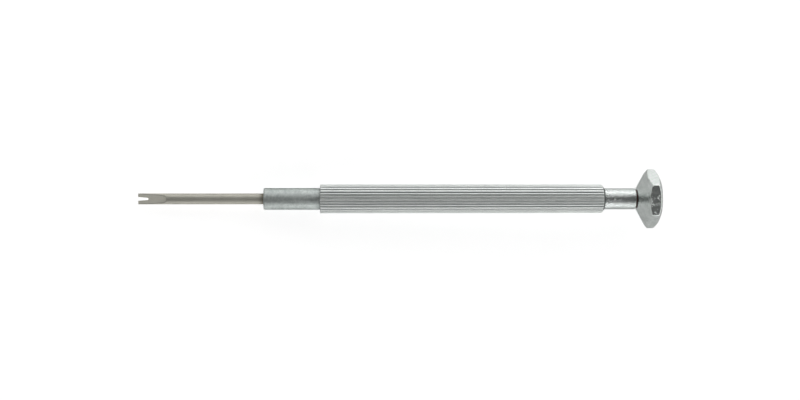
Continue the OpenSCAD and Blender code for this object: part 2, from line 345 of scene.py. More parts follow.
def metal(name, dark, light, rough, marks, mottle, scratch=0.25, bump=0.004, high=None,
          metallic=1.0, coat=0.0, edge=0.8, stain=None):
    """A metal that shades between two colours and two roughnesses as its surface detail says."""
    material = bpy.data.materials.new(name)
    material.use_nodes = True
    tree = material.node_tree
    shader = tree.nodes["Principled BSDF"]
    shader.inputs["Metallic"].default_value = metallic
    shader.inputs["Coat Weight"].default_value = coat
    shader.inputs["Specular Tint"].default_value = (edge, edge, edge, 1.0)
    place = tree.nodes.new("ShaderNodeTexCoord").outputs["Object"]
    vector = vector_node(tree, "MULTIPLY", place, (1 / MM, 1 / MM, 1 / MM))
    lines = place_group(tree, tool_marks, vector, marks)
    cloud = place_group(tree, plate_mottle, vector, mottle)
    hair = place_group(tree, hairlines, vector, {})
    shade = math_node(tree, "MULTIPLY", math_node(tree, "ADD", lines.outputs["Mask"],
                                                  cloud.outputs["Mask"]), 0.5)
    # A band between two radii lifts or lowers the colour. On the barrel it gives worn crests and
    # painted shade in the flute grooves.
    if high:
        spots = place_group(tree, high_spots, vector, {"Low": high[0], "High": high[1]})
        lifted = math_node(tree, "MULTIPLY", spots.outputs["Mask"], high[2])
        shade = math_node(tree, "ADD", shade, math_node(tree, "SUBTRACT", lifted, high[2] / 2),
                          clamp=True)
    ramp = tree.nodes.new("ShaderNodeMix")
    ramp.data_type = "RGBA"
    feed(tree, ramp.inputs["Factor"], shade)
    ramp.inputs["A"].default_value = (*dark, 1.0)
    ramp.inputs["B"].default_value = (*light, 1.0)
    colour = ramp.outputs["Result"]
    if stain:
        colour = stained(tree, vector, colour, *stain)
    feed(tree, shader.inputs["Base Color"], colour)
    scuffed = math_node(tree, "MULTIPLY", hair.outputs["Mask"], scratch)
    spread = remap(tree, shade, 0.2, 0.8, rough[0], rough[1])
    feed(tree, shader.inputs["Roughness"], math_node(tree, "ADD", spread, scuffed, clamp=True))
    raised = math_node(tree, "ADD",
                       math_node(tree, "MULTIPLY", lines.outputs["Height"], LINE_RELIEF),
                       math_node(tree, "MULTIPLY", cloud.outputs["Height"], CLOUD_RELIEF))
    relief = math_node(tree, "SUBTRACT", raised, scuffed)
    bump_node = tree.nodes.new("ShaderNodeBump")
    bump_node.inputs["Strength"].default_value = 1.0
    bump_node.inputs["Distance"].default_value = bump * MM
    feed(tree, bump_node.inputs["Height"], relief)
    feed(tree, shader.inputs["Normal"], bump_node.outputs["Normal"])
    return material


RINGS = {"Along": 9.0, "Across": 0.5}
GRAIN = {"Along": 0.5, "Across": 9.0}
print("marks:", RINGS, GRAIN)

# %% [markdown]
# The blade is bare tool steel, a little warm in tone and ground along its length, with a brown
# stain where it enters the ferrule. The ferrule is satin nickel with a blasted mottle. The barrel
# has the same plate, brighter on its worn crests and much darker in its flute grooves, where the
# darkness is painted shade. The head is polished chrome with a soft mottle and a few hairlines.
# The neck has the same chrome over a pitted surface, so it has a recipe of its own.

# %% Mix this tool's metals
blade_steel = metal("blade_steel", (0.50, 0.49, 0.43), (0.97, 0.955, 0.87), (0.58, 0.80),
                    {**GRAIN, "Contrast": 0.9}, {"Cloud": 0.6, "Contrast": 1.0}, bump=0.006,
                    metallic=0.6, edge=0.35,
                    high=(blade_r - 0.22, blade_r - 0.02, -0.7),
                    stain=(x_ferrule - 1.3, x_ferrule + 0.2, (0.10, 0.075, 0.04)))
satin_nickel = metal("satin_nickel", (0.37, 0.41, 0.40), (0.76, 0.80, 0.78), (0.48, 0.60),
                     {**GRAIN, "Contrast": 0.6}, {"Cloud": 1.0, "Pit": 1.9, "Contrast": 4.2},
                     bump=0.11, edge=0.35)
# Painted shade: the radius band makes the flute grooves far darker than the crests, which also read
# as worn.
fluted_nickel = metal("fluted_nickel", (0.27, 0.29, 0.28), (0.90, 0.93, 0.91), (0.36, 0.46),
                      {**GRAIN, "Contrast": 0.8}, {"Cloud": 0.4, "Pit": 2.2, "Contrast": 0.9},
                      bump=0.005, edge=0.2, high=(barrel_r - 0.17, barrel_r - 0.03, 0.95))
bright_chrome = metal("bright_chrome", (0.50, 0.55, 0.52), (0.92, 0.95, 0.93), (0.05, 0.22),
                      {**RINGS, "Contrast": 0.5}, {"Cloud": 0.8, "Pit": 2.3, "Contrast": 3.4},
                      scratch=0.35, bump=0.085)
pitted_chrome = metal("pitted_chrome", (0.55, 0.59, 0.57), (0.88, 0.91, 0.90), (0.06, 0.22),
                      {**RINGS, "Contrast": 0.5}, {"Cloud": 1.2, "Pit": 3.0, "Contrast": 3.6},
                      scratch=0.3, bump=0.26)
bearing_steel = metal("bearing_steel", (0.52, 0.53, 0.53), (0.70, 0.71, 0.71), (0.08, 0.16),
                      {**RINGS, "Contrast": 0.8}, {"Contrast": 0.8})
screw_steel = metal("screw_steel", (0.16, 0.165, 0.17), (0.34, 0.345, 0.35), (0.28, 0.42),
                    {**RINGS, "Contrast": 1.0}, {"Contrast": 1.2}, bump=0.008)
cage_brass = metal("cage_brass", (0.62, 0.42, 0.17), (0.80, 0.60, 0.30), (0.20, 0.34),
                   {**RINGS, "Contrast": 1.0}, {"Contrast": 1.0})
# Painted shade: the washer's near-black red-brown stands for the shade in the narrow groove between
# neck and head.
washer_fibre_and_shade = metal("washer_fibre_and_shade", (0.045, 0.010, 0.006), (0.10, 0.028, 0.018), (0.45, 0.65),
                     {"Along": 6.0, "Across": 6.0, "Contrast": 1.0}, {"Contrast": 1.5},
                     bump=0.02, metallic=0.0, coat=0.3)
print("metals:", len(bpy.data.materials))

# %% [markdown]
# ## Turned pieces
# Most of the tool is turned, so most pieces are an outline spun round the X axis. An outline is a
# short list of points, each with the radius of the round that softens its corner: no real edge is
# perfectly sharp, and the narrow highlight along a soft edge is what makes metal look solid.

# %% Spin a softened outline
ROUND_STEPS = 4


def softened(outline):
    """Turns points (x, r, round) into points (x, r), with a short curve in place of each corner."""
    smooth = []
    for i, (x, r, size) in enumerate(outline):
        if size <= 0 or i in (0, len(outline) - 1):
            smooth.append((x, r))
            continue
        here = Vector((x, r))
        before = Vector(outline[i - 1][:2]) - here
        after = Vector(outline[i + 1][:2]) - here
        reach = min(size, before.length * 0.45, after.length * 0.45)
        start, end = here + before.normalized() * reach, here + after.normalized() * reach
        for k in range(ROUND_STEPS + 1):
            t = k / ROUND_STEPS
            smooth.append(tuple(start * (1 - t) ** 2 + here * 2 * t * (1 - t) + end * t ** 2))
    return smooth


def skin(name, rings, wrap_rings=False):
    """A closed mesh through rings of points, in millimetres. Rings of no size become poles."""
    mesh = bpy.data.meshes.new(name)
    count = len(rings[0])
    points = [p for ring in rings for p in ring]
    last = len(rings) if wrap_rings else len(rings) - 1
    faces = []
    for i in range(last):
        for k in range(count):
            a, b = i * count + k, i * count + (k + 1) % count
            c, d = (i + 1) % len(rings) * count + (k + 1) % count, (i + 1) % len(rings) * count + k
            faces.append((a, b, c, d))
    mesh.from_pydata(points, [], faces)
    tidy_mesh(mesh)
    piece = bpy.data.objects.new(name, mesh)
    scene.collection.objects.link(piece)
    return piece


def tidy_mesh(mesh, merge=1e-5):
    """Merges doubles, drops faces of no size and points every face outwards."""
    bm = bmesh.new()
    bm.from_mesh(mesh)
    bmesh.ops.remove_doubles(bm, verts=bm.verts, dist=merge)
    bmesh.ops.dissolve_degenerate(bm, edges=bm.edges, dist=merge)
    bmesh.ops.recalc_face_normals(bm, faces=bm.faces)
    bm.to_mesh(mesh)
    bm.free()


def spun(name, outline, steps=128):
    """An outline spun round X. An outline that starts and ends off the axis is taken as a loop."""
    profile = softened(outline)
    turns = [2 * math.pi * k / steps for k in range(steps)]
    rings = [[(x, r * math.sin(a), r * math.cos(a)) for a in turns] for x, r in profile]
    return skin(name, rings, wrap_rings=profile[0][1] > 0)


def finish_piece(piece, body, node_names, material, sharp=32.0):
    """Shrinks a piece to metres, shades and paints it, and hands it to the frame."""
    mesh = piece.data
    mesh.transform(Matrix.Scale(MM, 4))
    mesh.materials.clear()
    mesh.materials.append(material)
    for face in mesh.polygons:
        face.material_index = 0
    mesh.shade_smooth()
    mesh.set_sharp_from_angle(angle=math.radians(sharp))
    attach(piece, body)
    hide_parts(*node_names)
    print(piece.name, "rides on", body, "with", len(mesh.polygons), "faces")
    return piece


# %% [markdown]
# ### Cutting a shape out
# Slots and cross holes are cut with a Boolean modifier, which is applied at once so that the piece
# stays a plain mesh. Working in millimetres keeps the solver well away from its rounding limits.

# %% Cut one mesh out of another
def cut(piece, *cutters):
    for cutter in cutters:
        modifier = piece.modifiers.new("cut", "BOOLEAN")
        modifier.operation = "DIFFERENCE"
        modifier.solver = "EXACT"
        modifier.object = cutter
        apply_modifiers(piece)
        bpy.data.objects.remove(cutter)
    return piece


def apply_modifiers(piece):
    """Replaces a piece's mesh with what its modifiers make of it."""
    bpy.context.view_layer.update()
    evaluated = piece.evaluated_get(bpy.context.evaluated_depsgraph_get())
    made = bpy.data.meshes.new_from_object(evaluated)
    piece.modifiers.clear()
    piece.data = made
    return piece


def block(name, low, high):
    """A closed box between two corners, used only as a cutter."""
    corners = [(x, y, z) for x in (low[0], high[0])
               for y in (low[1], high[1]) for z in (low[2], high[2])]
    faces = [(0, 1, 3, 2), (4, 6, 7, 5), (0, 4, 5, 1), (2, 3, 7, 6), (0, 2, 6, 4), (1, 5, 7, 3)]
    mesh = bpy.data.meshes.new(name)
    mesh.from_pydata(corners, [], faces)
    tidy_mesh(mesh)
    piece = bpy.data.objects.new(name, mesh)
    scene.collection.objects.link(piece)
    return piece


def bore(name, radius, length, turn_to, steps=64):
    """A round cutter that stands on the origin along Z, then is turned and moved by a matrix."""
    turns = [2 * math.pi * k / steps for k in range(steps)]
    rings = [[(r * math.cos(a), r * math.sin(a), z) for a in turns]
             for z, r in ((0, 0), (0, radius), (length, radius), (length, 0))]
    piece = skin(name, rings)
    piece.data.transform(turn_to)
    return piece


# %% [markdown]
# ## The barrel
# The barrel is a bar with straight flutes all round, so it is one narrow slice repeated. Geometry
# Nodes suit that exactly: a grid takes its stations from an outline, its radius is lowered towards
# both edges to leave half a flute on each side, and the slice is then instanced round the axis. The
# smooth minimum gives each crest a soft shoulder instead of a knife edge.

# %% Outline the barrel's slice
FLUTE_COUNT = 30
FLUTE_DEPTH = 0.2
FLUTE_SHOULDER = 0.05
FLUTE_POINTS = 17
SOCKET_DEPTH = x_spigot_end - x_barrel + 0.3
SPIGOT_R, NECK_SPIGOT_R = 2.2, 2.0
BEVEL = 0.55
DRILL_POINT = 0.6

barrel_outline = [
    (x_barrel + SOCKET_DEPTH + SPIGOT_R * DRILL_POINT, 0, 0),
    (x_barrel + SOCKET_DEPTH, SPIGOT_R, 0),
    (x_barrel, SPIGOT_R, 0.02),
    (x_barrel, barrel_r - 0.12, 0.04),
    (x_barrel + 0.12, barrel_r, 0.06),
    (x_neck - BEVEL, barrel_r, 0.2),
    (x_neck, neck_r + 0.05, 0.06),
    (x_neck, NECK_SPIGOT_R, 0.02),
    (x_neck - SOCKET_DEPTH, NECK_SPIGOT_R, 0),
    (x_neck - SOCKET_DEPTH - NECK_SPIGOT_R * DRILL_POINT, 0, 0),
]
barrel_profile = softened(barrel_outline)
print("barrel outline has", len(barrel_profile), "stations")


# %% Helpers for geometry trees
def geometry_tree(name, inputs):
    """A Geometry Nodes tree with a geometry in and out, and named inputs with starting values."""
    tree = bpy.data.node_groups.new(name, "GeometryNodeTree")
    tree.interface.new_socket("Geometry", in_out="INPUT", socket_type="NodeSocketGeometry")
    tree.interface.new_socket("Geometry", in_out="OUTPUT", socket_type="NodeSocketGeometry")
    kinds = {int: "NodeSocketInt", float: "NodeSocketFloat"}
    for label, value in inputs.items():
        socket = tree.interface.new_socket(label, in_out="INPUT", socket_type=kinds[type(value)])
        socket.default_value = value
    return tree, tree.nodes.new("NodeGroupInput"), tree.nodes.new("NodeGroupOutput")


def node(tree, kind, values=None, **settings):
    """Adds a node, sets its properties, then feeds its inputs by name or number."""
    made = tree.nodes.new(kind)
    for label, value in settings.items():
        setattr(made, label, value)
    for key, value in (values or {}).items():
        feed(tree, made.inputs[key], value)
    return made


def calc(tree, operation, a, b=None, c=None):
    made = node(tree, "ShaderNodeMath", operation=operation)
    for socket, value in zip(made.inputs, (a, b, c)):
        feed(tree, socket, value)
    return made.outputs[0]


def end_tree(tree, put, geometry, material):
    """Realizes the instances, sets the material and closes the tree."""
    real = node(tree, "GeometryNodeRealizeInstances", {"Geometry": geometry})
    painted = node(tree, "GeometryNodeSetMaterial", {"Geometry": real.outputs[0]})
    painted.inputs["Material"].default_value = material
    feed(tree, put.inputs["Geometry"], painted.outputs[0])


def grown(name, tree, values, base_mesh=None):
    """Runs a tree on a new object with the given inputs and keeps the result as a plain mesh."""
    piece = bpy.data.objects.new(name, base_mesh or bpy.data.meshes.new(name))
    scene.collection.objects.link(piece)
    modifier = piece.modifiers.new("grow", "NODES")
    modifier.node_group = tree
    for item in tree.interface.items_tree:
        if item.item_type == "SOCKET" and item.in_out == "INPUT" and item.name in values:
            modifier[item.identifier] = values[item.name]
    apply_modifiers(piece)
    tidy_mesh(piece.data)
    return piece


# %% Build the tree of one slice, repeated round the axis
def build_flute_tree():
    tree, given, put = geometry_tree("fluted_bar", {
        "Stations": 10, "Flutes": 30, "Across": 17, "Crest": 3.35, "Depth": 0.2, "Shoulder": 0.05})
    grid = node(tree, "GeometryNodeMeshGrid", {
        "Size X": 1.0, "Size Y": 1.0,
        "Vertices X": given.outputs["Stations"], "Vertices Y": given.outputs["Across"]})
    spot = node(tree, "ShaderNodeSeparateXYZ",
                {0: node(tree, "GeometryNodeInputPosition").outputs[0]})
    last = calc(tree, "SUBTRACT", given.outputs["Stations"], 1.0)
    along = calc(tree, "ADD", spot.outputs["X"], 0.5)
    index = calc(tree, "ROUND", calc(tree, "MULTIPLY", along, last))
    sample = node(tree, "GeometryNodeSampleIndex", data_type="FLOAT_VECTOR", domain="POINT")
    feed(tree, sample.inputs["Geometry"], given.outputs["Geometry"])
    feed(tree, sample.inputs["Value"], node(tree, "GeometryNodeInputPosition").outputs[0])
    feed(tree, sample.inputs["Index"], index)
    station = node(tree, "ShaderNodeSeparateXYZ", {0: sample.outputs["Value"]})
    pitch = calc(tree, "DIVIDE", 2 * math.pi, given.outputs["Flutes"])
    turn = calc(tree, "MULTIPLY", spot.outputs["Y"], pitch)
    from_crest = calc(tree, "ABSOLUTE", turn)
    to_groove = calc(tree, "SUBTRACT", calc(tree, "MULTIPLY", pitch, 0.5), from_crest)
    rise = calc(tree, "MULTIPLY", to_groove, given.outputs["Crest"])
    floor = calc(tree, "SUBTRACT", given.outputs["Crest"], given.outputs["Depth"])
    wall = calc(tree, "ADD", floor, rise)
    radius = calc(tree, "SMOOTH_MIN", station.outputs["Y"], wall, given.outputs["Shoulder"])
    place = node(tree, "ShaderNodeCombineXYZ", {
        "X": station.outputs["X"],
        "Y": calc(tree, "MULTIPLY", radius, calc(tree, "SINE", turn)),
        "Z": calc(tree, "MULTIPLY", radius, calc(tree, "COSINE", turn))})
    slice_of_bar = node(tree, "GeometryNodeSetPosition", {
        "Geometry": grid.outputs["Mesh"], "Position": place.outputs[0]})
    points = node(tree, "GeometryNodePoints", {"Count": given.outputs["Flutes"]})
    each = calc(tree, "MULTIPLY", node(tree, "GeometryNodeInputIndex").outputs[0], pitch)
    spin = node(tree, "ShaderNodeCombineXYZ", {"X": each})
    around = node(tree, "GeometryNodeInstanceOnPoints", {
        "Points": points.outputs[0], "Instance": slice_of_bar.outputs[0],
        "Rotation": spin.outputs[0]})
    end_tree(tree, put, around.outputs[0], fluted_nickel)
    return tree


flute_tree = build_flute_tree()
profile_mesh = bpy.data.meshes.new("barrel_profile")
profile_mesh.from_pydata([(x, r, 0) for x, r in barrel_profile], [], [])
barrel = grown("fluted_barrel", flute_tree,
               {"Stations": len(barrel_profile), "Flutes": FLUTE_COUNT, "Across": FLUTE_POINTS,
                "Crest": barrel_r, "Depth": FLUTE_DEPTH, "Shoulder": FLUTE_SHOULDER},
               profile_mesh)
finish_piece(barrel, "handle", ["barrel"], fluted_nickel, sharp=50.0)

# %% [markdown]
# ## The neck and the dust washer
# The neck is a plain polished bar with a rounded end, and its spigot sits inside the barrel. The
# washer is the thin ring that seals the gap in front of the head; its near-black tone is painted
# shade for the groove there.

# %% Spin the neck
COLLAR_R = span("pivot_pin")[1].z
PIN_HOLE_R, PIN_DEPTH = 1.0, 6.0
neck = spun("polished_neck", [
    (x_neck_spigot, 0, 0),
    (x_neck_spigot, NECK_SPIGOT_R - 0.25, 0.05),
    (x_neck_spigot + 0.25, NECK_SPIGOT_R, 0.05),
    (x_neck, NECK_SPIGOT_R, 0),
    (x_neck, neck_r, 0),
    (x_washer, neck_r, 0.35),
    (x_washer, PIN_HOLE_R, 0),
    (x_washer - PIN_DEPTH, PIN_HOLE_R, 0),
    (x_washer - PIN_DEPTH - PIN_HOLE_R * DRILL_POINT, 0, 0),
])
finish_piece(neck, "handle", ["neck"], pitted_chrome)


# %% Spin the washer
x_washer_end = span("dust_washer")[1].x
washer_hole_r = COLLAR_R + 0.05
washer = spun("fibre_washer", [
    (x_washer, washer_hole_r, 0.03),
    (x_washer, washer_r, 0.08),
    (x_washer_end, washer_r, 0.08),
    (x_washer_end, washer_hole_r, 0.03),
])
finish_piece(washer, "handle", ["dust_washer"], washer_fibre_and_shade)

# %% [markdown]
# ## The ferrule
# The ferrule grips the blade with two small headless screws, so it is spun first and its cross
# holes are cut afterwards. Its spigot goes into the barrel.

# %% Spin and drill the ferrule
SCREW_TILT = math.radians(120)
SCREW_STATIONS = [3.5, 8.5]
SCREW_R, SCREW_HOLE_R = 0.70, 0.72
BLADE_HOLE_R = blade_r + 0.02
blade_hole_end = x_shank_end + 0.2


def screw_place(station):
    """The matrix that stands a piece built along Z on a clamp screw's axis."""
    move = Matrix.Translation((x_ferrule + station, 0, 0))
    return move @ Matrix.Rotation(SCREW_TILT, 4, "X")


ferrule = spun("satin_ferrule", [
    (blade_hole_end + BLADE_HOLE_R * DRILL_POINT, 0, 0),
    (blade_hole_end, BLADE_HOLE_R, 0),
    (x_ferrule, BLADE_HOLE_R, 0.03),
    (x_ferrule, ferrule_r - 0.2, 0.08),
    (x_ferrule + 0.2, ferrule_r, 0.08),
    (x_barrel, ferrule_r, 0.02),
    (x_barrel, SPIGOT_R, 0),
    (x_spigot_end - 0.25, SPIGOT_R, 0.05),
    (x_spigot_end, SPIGOT_R - 0.25, 0.05),
    (x_spigot_end, 0, 0),
])
cut(ferrule, *[bore("drill", SCREW_HOLE_R, ferrule_r + 1, screw_place(s)) for s in SCREW_STATIONS])
finish_piece(ferrule, "handle", ["ferrule"], satin_nickel)

# %% [markdown]
# ## The clamp screws
# Each screw is a slotted rod with a thread. The thread is a spiral, and a spiral swept with a small
# round section is what Geometry Nodes do in three nodes. It stops below the floor of the slot.

# %% Build the thread's tree
def build_thread_tree():
    tree, given, put = geometry_tree("screw_thread", {
        "Turns": 3.0, "Radius": 0.6, "Length": 0.9, "Ridge": 0.07})
    spiral = node(tree, "GeometryNodeCurveSpiral", {
        "Resolution": 40, "Rotations": given.outputs["Turns"], "Height": given.outputs["Length"],
        "Start Radius": given.outputs["Radius"], "End Radius": given.outputs["Radius"]})
    ring = node(tree, "GeometryNodeCurvePrimitiveCircle", {
        "Resolution": 8, "Radius": given.outputs["Ridge"]})
    ridge = node(tree, "GeometryNodeCurveToMesh", {
        "Curve": spiral.outputs[0], "Profile Curve": ring.outputs["Curve"], "Fill Caps": True})
    end_tree(tree, put, ridge.outputs[0], screw_steel)
    return tree


thread_tree = build_thread_tree()
SCREW_FOOT, SCREW_LENGTH = 1.0, 1.35
CORE_R = SCREW_R - 0.13
SAW_WIDTH, SAW_DEPTH = 0.25, 0.4
THREAD = {"Turns": 2.5, "Radius": CORE_R + 0.03, "Length": 0.67, "Ridge": 0.08}
THREAD_START = 0.16


# %% Turn a screw, saw its slot and add its thread
def clamp_screw(name, station):
    """A slotted screw with its thread, standing in its place in the ferrule."""
    turns = [2 * math.pi * k / 64 for k in range(64)]
    outline = softened([(0, 0, 0), (0, CORE_R - 0.1, 0.05), (0.14, CORE_R, 0.05),
                        (1.02, CORE_R, 0.02), (1.1, SCREW_R, 0.03),
                        (SCREW_LENGTH, SCREW_R, 0.05), (SCREW_LENGTH, 0, 0)])
    screw = skin(name, [[(r * math.cos(a), r * math.sin(a), z) for a in turns] for z, r in outline])
    cut(screw, block("saw", (-1, -SAW_WIDTH / 2, SCREW_LENGTH - SAW_DEPTH),
                     (1, SAW_WIDTH / 2, SCREW_LENGTH + 1)))
    thread = grown(name + "_thread", thread_tree, THREAD)
    thread.data.transform(Matrix.Translation((0, 0, THREAD_START)))
    joined = bmesh.new()
    joined.from_mesh(screw.data)
    joined.from_mesh(thread.data)
    joined.to_mesh(screw.data)
    joined.free()
    bpy.data.objects.remove(thread)
    screw.data.transform(screw_place(station) @ Matrix.Translation((0, 0, SCREW_FOOT)))
    return screw


for which, station in zip(("front", "rear"), SCREW_STATIONS):
    screw = clamp_screw(f"slotted_screw_{which}", station)
    finish_piece(screw, f"{which}_screw", [f"clamp_screw_{which}"], screw_steel)

# %% [markdown]
# ## The blade
# The blade is a rod whose section changes along it: two flats are ground on the front, and a small
# flat lies along the shank for the clamp screws. Each section is a circle cut off at a height, and
# the smooth minimum again leaves a soft edge. Only the slot is cut with a Boolean.

# %% Say how high the flats stand at each station
TIP_HALF, FLAT_END_HALF = 0.3, 0.9
FLAT_LENGTH, WHEEL_R = 6.2, 1.2
RUNOUT = 0.9
BLADE_EDGE = 0.03
SLOT_MOUTH, SLOT_END, SLOT_DEPTH = 0.85, 0.55, 2.35
CLAMP_HEIGHT, CLAMP_START = 0.98, 1.5
taper = (FLAT_END_HALF - TIP_HALF) / FLAT_LENGTH
flat_straight = FLAT_LENGTH - WHEEL_R / 2


def soft_min(a, b, k):
    """The smaller of two values, with a blend k wide where they meet."""
    near = max(k - abs(a - b), 0.0) / k
    return min(a, b) - near * near * k / 4


def flat_height(along):
    """Height of the ground flat above the axis, this far behind the tip."""
    ramp = TIP_HALF + taper * along
    if along <= flat_straight:
        return ramp
    z_wheel = TIP_HALF + taper * flat_straight + WHEEL_R
    out = along - flat_straight
    return z_wheel - math.sqrt(max(WHEEL_R ** 2 - out ** 2, 0)) if out < WHEEL_R else blade_r * 2


def blade_radius(x, angle):
    """Radius of the blade at a station, in a direction turned from +Z towards +Y."""
    along, behind = x - x_tip, x - x_ferrule
    radius = blade_r
    if along < flat_straight + WHEEL_R:
        slope = max(abs(math.cos(angle)), 1e-6)
        radius = soft_min(radius, flat_height(along) / slope, BLADE_EDGE)
    facing = math.cos(angle + SCREW_TILT)
    if behind >= CLAMP_START and facing > 0.05:
        radius = soft_min(radius, CLAMP_HEIGHT / facing, BLADE_EDGE)
    return radius


print("flats run out", round(flat_straight + RUNOUT, 2), "mm behind the tip")


# %% Skin the blade
TIP_ROUND = 0.12


def blade_stations():
    """Pairs (x, shrink) along the blade, close together where its section changes."""
    tip = [(x_tip, 0.0), (x_tip, -0.10), (x_tip + 0.02, -0.05), (x_tip + 0.06, -0.012),
           (x_tip + TIP_ROUND, 0.0)]
    front = [x_tip + TIP_ROUND + (flat_straight - TIP_ROUND) * k / 24 for k in range(1, 25)]
    runout = [x_tip + flat_straight + RUNOUT * k / 18 for k in range(1, 19)]
    middle = [x_ferrule - 12, x_ferrule - 4, x_ferrule, x_ferrule + CLAMP_START - 0.01,
              x_ferrule + CLAMP_START + 0.01, x_ferrule + 8]
    tail = [(x_shank_end - 0.25, 0.0), (x_shank_end - 0.08, -0.1), (x_shank_end, -0.25),
            (x_shank_end, 0.0)]
    return tip + [(x, 0.0) for x in front + runout + middle] + tail


def blade_ring(x, shrink, pole):
    """The blade's section at a station, or a pole, where the ring shrinks to the axis."""
    turns = [2 * math.pi * k / 144 for k in range(144)]
    scale = 0.0 if pole else 1.0
    return [(x, (blade_radius(x, a) + shrink) * scale * math.sin(a),
             (blade_radius(x, a) + shrink) * scale * math.cos(a)) for a in turns]


stations = blade_stations()
rings = [blade_ring(x, shrink, i in (0, len(stations) - 1))
         for i, (x, shrink) in enumerate(stations)]
blade = skin("forked_blade", rings)
print("blade skinned through", len(rings), "rings")


# %% Cut the slot and soften its edges
def slot_cutter():
    """A prism with a flared mouth and a round end."""
    straight = SLOT_DEPTH - SLOT_END / 2
    flare = (SLOT_MOUTH - SLOT_END) / 2 / straight
    outline = [(-1.0, SLOT_MOUTH / 2 + flare), (-1.0, -SLOT_MOUTH / 2 - flare)]
    for k in range(25):
        a = math.radians(-90 + 180 * k / 24)
        outline.append((straight + SLOT_END / 2 * math.cos(a), SLOT_END / 2 * math.sin(a)))
    mesh = bpy.data.meshes.new("slot")
    count = len(outline)
    points = [(x_tip + x, y, z) for z in (-2, 2) for x, y in outline]
    faces = [tuple(range(count)), tuple(range(2 * count - 1, count - 1, -1))]
    faces += [(k, (k + 1) % count, count + (k + 1) % count, count + k) for k in range(count)]
    mesh.from_pydata(points, [], faces)
    tidy_mesh(mesh)
    piece = bpy.data.objects.new("slot", mesh)
    scene.collection.objects.link(piece)
    return piece


cut(blade, slot_cutter())
soften = blade.modifiers.new("soften", "BEVEL")
soften.width = 0.035
soften.segments = 2
soften.limit_method = "ANGLE"
soften.angle_limit = math.radians(60)
apply_modifiers(blade)
finish_piece(blade, "blade", ["blade"], blade_steel)

# %% [markdown]
# ## The head
# The head is a hexagonal bar turned to a cone in front and a dome behind. In each direction round
# the axis the surface meets the cone, then the flat, then the dome, so the places where they meet
# can be worked out. Rows of the mesh follow those meeting lines, and the smooth minimum softens
# them, which gives the curved edges of the facets their fine bright line.

# %% Work out the head's surface
NOSE_R = 2.45
CONE_RISE = math.tan(math.radians(60))
CROWN_R = 12.0
RIM_R = 4.9
DISH_R, DISH_DEPTH = 4.7, 0.7
EDGE_SOFT = 0.22
HEAD_HOLE_R = COLLAR_R + 0.15
BEARING_R = span("bearing_outer_ring")[1].z
BEARING_LIP, LIP_THICK = 0.4, 0.15
crown_centre = x_rim - math.sqrt(CROWN_R ** 2 - RIM_R ** 2)
dish_sphere = (DISH_R ** 2 + DISH_DEPTH ** 2) / (2 * DISH_DEPTH)


def cone_radius(x):
    return NOSE_R + (x - x_head) * CONE_RISE


def crown_radius(x):
    return math.sqrt(max(CROWN_R ** 2 - (x - crown_centre) ** 2, 0))


def hex_radius(angle):
    """Distance to the hexagon's side, with softened corners. A side faces straight up."""
    sector = math.pi / 3
    off = abs((angle + sector / 2) % sector - sector / 2)
    return soft_min(head_flat / math.cos(off), head_flat / math.cos(sector - off), EDGE_SOFT)


def dish_x(r):
    """Station of the dish's floor at a radius."""
    return x_rim + dish_sphere - DISH_DEPTH - math.sqrt(dish_sphere ** 2 - r ** 2)


print("crown reaches", round(crown_radius(x_rim), 3), "mm at the rim")


# %% Lay the head's rows along its edges
NEAR = 0.15


def head_column(angle):
    """Points (x, r) of the head in one direction, from the nose outwards and back inside."""
    side = hex_radius(angle)
    x_cone = x_head + (side - NOSE_R) / CONE_RISE
    x_crown = crown_centre + math.sqrt(CROWN_R ** 2 - side ** 2)
    near = [-NEAR, -0.11, -0.075, -0.04, 0.0, 0.04, 0.075, 0.11, NEAR]
    stops = [x_head + (x_cone - 0.18 - x_head) * k / 12 for k in range(1, 13)]
    stops += [x_cone + d for d in near]
    stops += [x_cone + NEAR + (x_crown - x_cone - 2 * NEAR) * k / 5 for k in range(1, 5)]
    stops += [x_crown + d for d in near]
    stops += [x_crown + NEAR + (x_rim - 0.04 - x_crown - NEAR) * k / 10 for k in range(1, 11)]
    column = [(x_head, HEAD_HOLE_R + 0.02), (x_head, NOSE_R - 0.04),
              (x_head + 0.012, NOSE_R + 0.012)]
    for x in stops:
        r = soft_min(soft_min(cone_radius(x), side, EDGE_SOFT), crown_radius(x), EDGE_SOFT)
        column.append((x, r))
    column += [(x_rim - 0.012, RIM_R), (x_rim, RIM_R - 0.03), (x_rim, DISH_R + 0.03)]
    column += [(dish_x(r), r) for r in (DISH_R - 0.02, 4.5, 4.25, 4.0, pad_r + 0.05)]
    column += [(dish_x(pad_r) - 0.03, pad_r + 0.005), (x_pad, pad_r), (x_pad, BEARING_R)]
    column += [(x_bearing, BEARING_R), (x_bearing, BEARING_R - BEARING_LIP),
               (x_bearing - LIP_THICK, BEARING_R - BEARING_LIP)]
    column += [(x_bearing - LIP_THICK, HEAD_HOLE_R), (x_head + 0.02, HEAD_HOLE_R)]
    return column


# %% Skin the head
corner_steps = [-0.9, -0.45, -0.2, 0.2, 0.45, 0.9]
angles = []
for sector in range(6):
    corner = 60 * sector + 30
    angles += [corner + d for d in corner_steps] + [corner]
    angles += [corner + 2 + 56 * k / 22 for k in range(23)]
angles = [math.radians(a) for a in sorted(angles)]
columns = [head_column(a) for a in angles]
head_rings = [[(col[i][0], col[i][1] * math.sin(a), col[i][1] * math.cos(a))
               for col, a in zip(columns, angles)] for i in range(len(columns[0]))]
head = skin("hexagon_head", head_rings, wrap_rings=True)
finish_piece(head, "swivel", ["head"], bright_chrome, sharp=40.0)

# %% [markdown]
# ## The finger pad
# The fingertip rests in the pad's shallow dish. It is a turned disc, pressed into the head, and the
# fine groove round it is where the two pieces meet.

